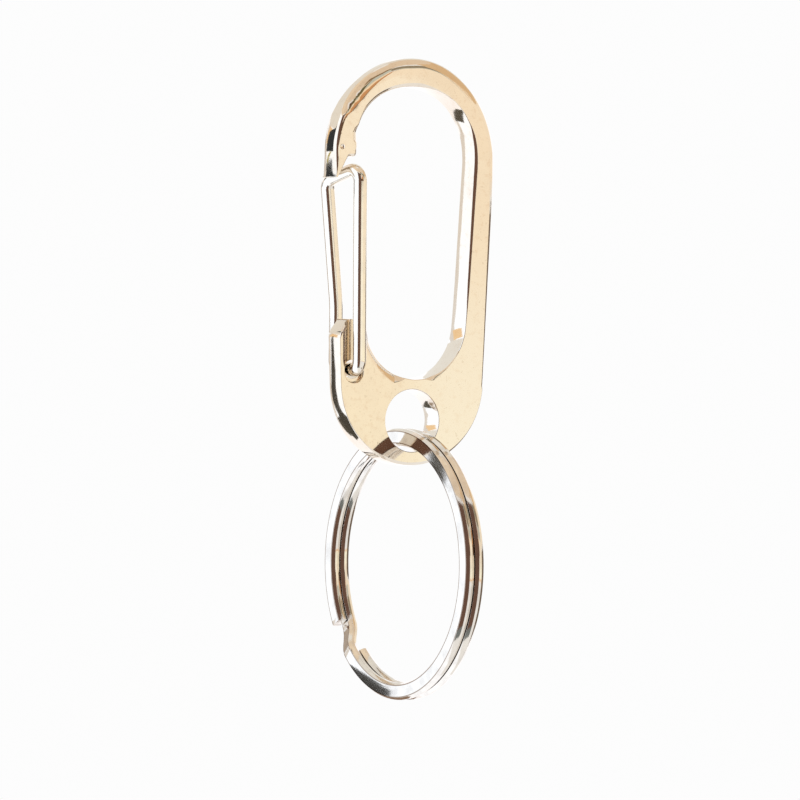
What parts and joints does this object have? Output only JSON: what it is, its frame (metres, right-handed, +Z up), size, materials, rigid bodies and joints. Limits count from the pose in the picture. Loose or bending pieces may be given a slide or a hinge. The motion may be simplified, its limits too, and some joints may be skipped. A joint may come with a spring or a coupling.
{
  "type": "carabiner keychain",
  "caption": "Flat cast carabiner with a sprung wire gate, hung upright, and a split ring through the hole at its foot for keys.",
  "frame": {"origin": "inside top of the carabiner's eye, midway through its thickness, where a belt loop or hook carries it", "axes": "+Z up along the hanging part, -Y out of the front face, the gate on the -X side"},
  "size_m": [0.021, 0.03, 0.0709],
  "materials": {
    "frame_plating": "polished, warm champagne plating on a zinc casting",
    "gate_steel": "bright drawn spring steel wire",
    "ring_nickel": "nickel-plated flattened steel wire"
  },
  "bodies": {
    "frame": {"frame": "frame_plating"},
    "gate": {"gate_wire": "gate_steel"},
    "ring": {"split_ring": "ring_nickel"}
  },
  "joints": [
    {"name": "gate_hinge", "type": "hinge", "parent": "frame", "child": "gate", "pos_m": [-0.00761, 0, -0.03125], "axis": [0, 1, 0], "range_deg": [0, 40], "stiffness_Nm_per_rad": 0.03, "springref_deg": -22.92},
    {"name": "ring_swing", "type": "hinge", "parent": "frame", "child": "ring", "pos_m": [0, 0, -0.0368], "axis": [0, 1, 0], "range_deg": [-155, 155]}
  ]
}
